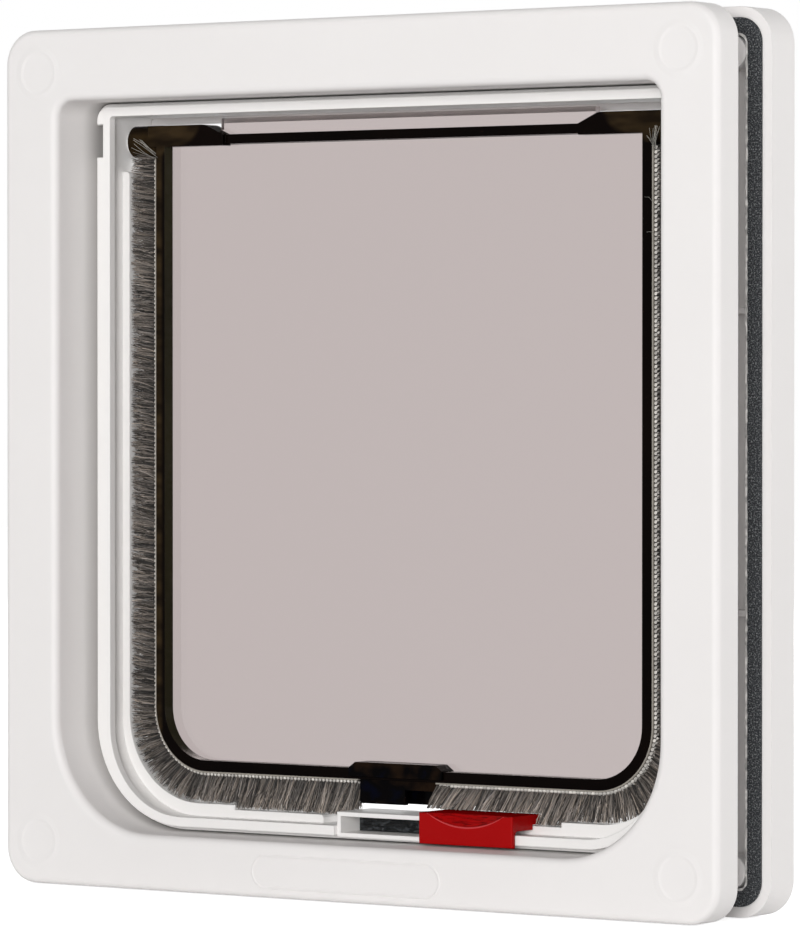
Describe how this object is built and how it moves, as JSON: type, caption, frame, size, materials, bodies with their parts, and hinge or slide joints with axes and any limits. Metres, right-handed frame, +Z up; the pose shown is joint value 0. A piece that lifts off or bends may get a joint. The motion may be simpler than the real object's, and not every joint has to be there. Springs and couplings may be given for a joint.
{
  "type": "cat flap",
  "caption": "Door-mounted cat flap: two bezel frames clamp the door round a lined tunnel, with a swinging see-through flap, brush seals and a sliding lock on the sill.",
  "frame": {"origin": "centre of the overall box in width and depth, on the level of the frames' bottom edges", "axes": "+Z up, +X to the right seen from indoors, -Y towards the room and +Y outdoors"},
  "size_m": [0.196, 0.0324, 0.198],
  "materials": {
    "white_plastic": "satin white moulded plastic",
    "foam": "dark closed-cell foam",
    "ferrite": "dull dark sintered magnet",
    "smoked_plastic": "clear smoked brown moulding, dark at its thick rim",
    "black_plastic": "glossy black moulded plastic",
    "steel": "plain drawn wire",
    "backing": "woven tape",
    "bristle": "grey-brown woven pile",
    "red_plastic": "glossy red moulded plastic"
  },
  "bodies": {
    "outer_shell": {"outer_frame": "white_plastic", "weather_gasket": "foam", "tunnel_liner": "white_plastic", "sill_magnet": "ferrite"},
    "inner_trim": {"inner_frame": "white_plastic", "screw_caps": "white_plastic"},
    "swing_flap": {"flap": "smoked_plastic", "latch_block": "black_plastic", "flap_magnet": "ferrite", "magnet_cover": "black_plastic", "hinge_pin_left": "steel", "hinge_pin_right": "steel", "brush_backing_left": "backing", "brush_backing_right": "backing", "brush_pile_left": "bristle", "brush_pile_right": "bristle"},
    "lock": {"lock_slide": "red_plastic"}
  },
  "joints": [
    {"name": "trim_depth", "type": "slide", "parent": "outer_shell", "child": "inner_trim", "axis": [0, 1, 0], "range_m": [-0.006, 0.0065]},
    {"name": "flap_swing", "type": "hinge", "parent": "outer_shell", "child": "swing_flap", "pos_m": [0, 0.0074, 0.1725], "axis": [1, 0, 0], "range_deg": [-85, 85]},
    {"name": "lock_travel", "type": "slide", "parent": "outer_shell", "child": "lock", "axis": [1, 0, 0], "range_m": [-0.0225, 0]}
  ]
}
